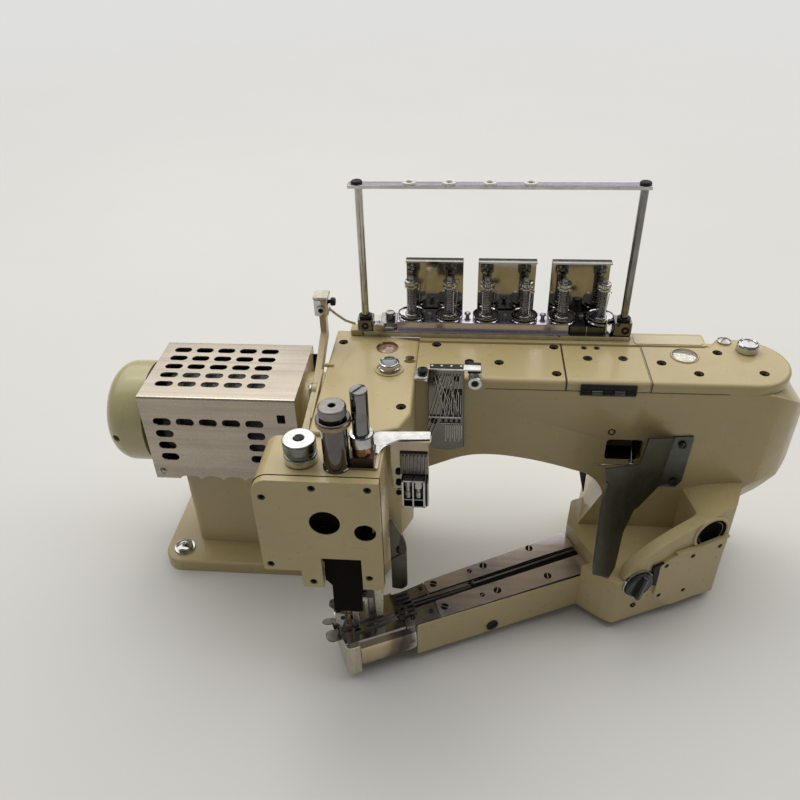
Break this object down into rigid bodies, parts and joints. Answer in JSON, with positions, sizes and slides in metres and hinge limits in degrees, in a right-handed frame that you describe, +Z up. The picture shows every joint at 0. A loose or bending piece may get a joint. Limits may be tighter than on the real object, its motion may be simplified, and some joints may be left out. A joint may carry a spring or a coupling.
{
  "type": "flatlock sewing machine",
  "caption": "Feed-off-the-arm flat seaming machine: motor and handwheel on a pedestal, C-shaped upper arm, needle head, slim feed arm and thread tension unit.",
  "frame": {"origin": "centre of the four base bolt holes, on the underside of the base plate", "axes": "+X along the upper arm from the handwheel to the rounded end, +Y from the needle side to the tension unit, +Z up"},
  "size_m": [0.679, 0.2739, 0.386],
  "materials": {
    "paint": "gloss",
    "wheel_paint": "gloss",
    "stainless": "brushed",
    "polished": "polished",
    "steel": "ground",
    "zinc": "matt zinc",
    "iron": "plain",
    "black_metal": "black oxide",
    "brass": "turned",
    "dial": "gloss",
    "clear": "clear"
  },
  "bodies": {
    "machine": {"pedestal": "paint", "arm_casting": "paint", "block_cover": "paint", "left_top_cover": "paint", "right_top_cover": "paint", "head_casting": "paint", "face_plate": "paint", "feed_arm": "paint", "bottom_cover": "paint", "motor_flange": "paint", "motor_cover": "stainless", "motor_housing": "iron", "shaft_bushes": "brass", "feed_end_cap": "stainless", "looper_cover": "polished", "needle_plate": "polished", "front_arm_plate": "steel", "rear_arm_plate": "steel", "small_arm_plates": "steel", "needle_shield": "black_metal", "needle_bar_guard": "polished", "regulator_seat": "brass", "head_bracket": "polished", "guide_box": "black_metal", "thread_guide_plate": "polished", "guard_plate": "zinc", "sight_glasses": "clear", "top_cover_screws": "black_metal", "hinge_fixed_leaf": "black_metal", "tension_rail": "polished", "tension_posts": "polished", "tension_discs": "polished", "tension_springs": "polished", "tension_plates": "polished", "guide_rods": "polished", "guide_bar": "polished"},
    "drive": {"handwheel": "wheel_paint", "main_shaft": "steel", "drive_pulley": "steel"},
    "needle_drive": {"needle_bar": "polished", "needle_clamp": "steel", "needles": "polished"},
    "presser": {"presser_bar": "polished", "presser_foot": "steel"},
    "lifter": {"lift_lever": "paint"},
    "feed": {"feed_dog": "steel"},
    "flap": {"middle_top_cover": "paint", "hinge_moving_leaf": "black_metal"},
    "regulator": {"regulator_screw": "polished"},
    "lift_limiter": {"lift_limit_knob": "polished"},
    "dial": {"stitch_dial": "dial"},
    "filler": {"oil_filler_cap": "polished"},
    "end_cap": {"oil_cap": "polished"},
    "nut_1": {"tension_nut_1": "polished"},
    "nut_2": {"tension_nut_2": "polished"},
    "nut_3": {"tension_nut_3": "polished"},
    "nut_4": {"tension_nut_4": "polished"},
    "nut_5": {"tension_nut_5": "polished"},
    "nut_6": {"tension_nut_6": "polished"}
  },
  "joints": [
    {"name": "handwheel_spin", "type": "hinge", "parent": "machine", "child": "drive", "pos_m": [0, 0, 0.161], "axis": [1, 0, 0], "continuous": true},
    {"name": "needle_bar_slide", "type": "slide", "parent": "machine", "child": "needle_drive", "axis": [0, 0, 1], "range_m": [-0.018, 0.013]},
    {"name": "presser_slide", "type": "slide", "parent": "machine", "child": "presser", "axis": [0, 0, 1], "range_m": [0, 0.007]},
    {"name": "lifter_pivot", "type": "hinge", "parent": "machine", "child": "lifter", "pos_m": [0.06, -0.05, 0.224], "axis": [-1, 0, 0], "range_deg": [0, 3.9]},
    {"name": "feed_slide", "type": "slide", "parent": "machine", "child": "feed", "axis": [0.9121, 0.4099, 0], "range_m": [-0.002, 0.002]},
    {"name": "flap_hinge", "type": "hinge", "parent": "machine", "child": "flap", "pos_m": [0.3245, -0.049, 0.231], "axis": [1, 0, 0], "range_deg": [0, 100]},
    {"name": "regulator_turn", "type": "hinge", "parent": "machine", "child": "regulator", "pos_m": [0.1175, -0.158, 0.28], "axis": [0, 0, 1], "range_deg": [-720, 720]},
    {"name": "lift_limit_turn", "type": "hinge", "parent": "machine", "child": "lift_limiter", "pos_m": [0.068, -0.161, 0.25], "axis": [0, 0, 1], "range_deg": [-360, 360]},
    {"name": "dial_turn", "type": "hinge", "parent": "machine", "child": "dial", "pos_m": [0.36581, -0.11623, 0.059], "axis": [0.4099, -0.9121, 0], "range_deg": [-150, 150]},
    {"name": "filler_turn", "type": "hinge", "parent": "machine", "child": "filler", "pos_m": [0.127, -0.032, 0.24], "axis": [0, 0, 1], "continuous": true},
    {"name": "end_cap_turn", "type": "hinge", "parent": "machine", "child": "end_cap", "pos_m": [0.461, 0.014, 0.24], "axis": [0, 0, 1], "continuous": true},
    {"name": "nut_1_turn", "type": "hinge", "parent": "machine", "child": "nut_1", "pos_m": [0.143, 0.044, 0.29], "axis": [0, 0, 1], "range_deg": [-720, 720]},
    {"name": "nut_2_turn", "type": "hinge", "parent": "machine", "child": "nut_2", "pos_m": [0.1798, 0.044, 0.29], "axis": [0, 0, 1], "range_deg": [-720, 720]},
    {"name": "nut_3_turn", "type": "hinge", "parent": "machine", "child": "nut_3", "pos_m": [0.2166, 0.044, 0.29], "axis": [0, 0, 1], "range_deg": [-720, 720]},
    {"name": "nut_4_turn", "type": "hinge", "parent": "machine", "child": "nut_4", "pos_m": [0.2534, 0.044, 0.29], "axis": [0, 0, 1], "range_deg": [-720, 720]},
    {"name": "nut_5_turn", "type": "hinge", "parent": "machine", "child": "nut_5", "pos_m": [0.2902, 0.044, 0.29], "axis": [0, 0, 1], "range_deg": [-720, 720]},
    {"name": "nut_6_turn", "type": "hinge", "parent": "machine", "child": "nut_6", "pos_m": [0.327, 0.044, 0.29], "axis": [0, 0, 1], "range_deg": [-720, 720]}
  ],
  "couplings": [
    {"joint": "lifter_pivot", "follows": "presser_slide", "rad_per_m": 9.2593}
  ]
}
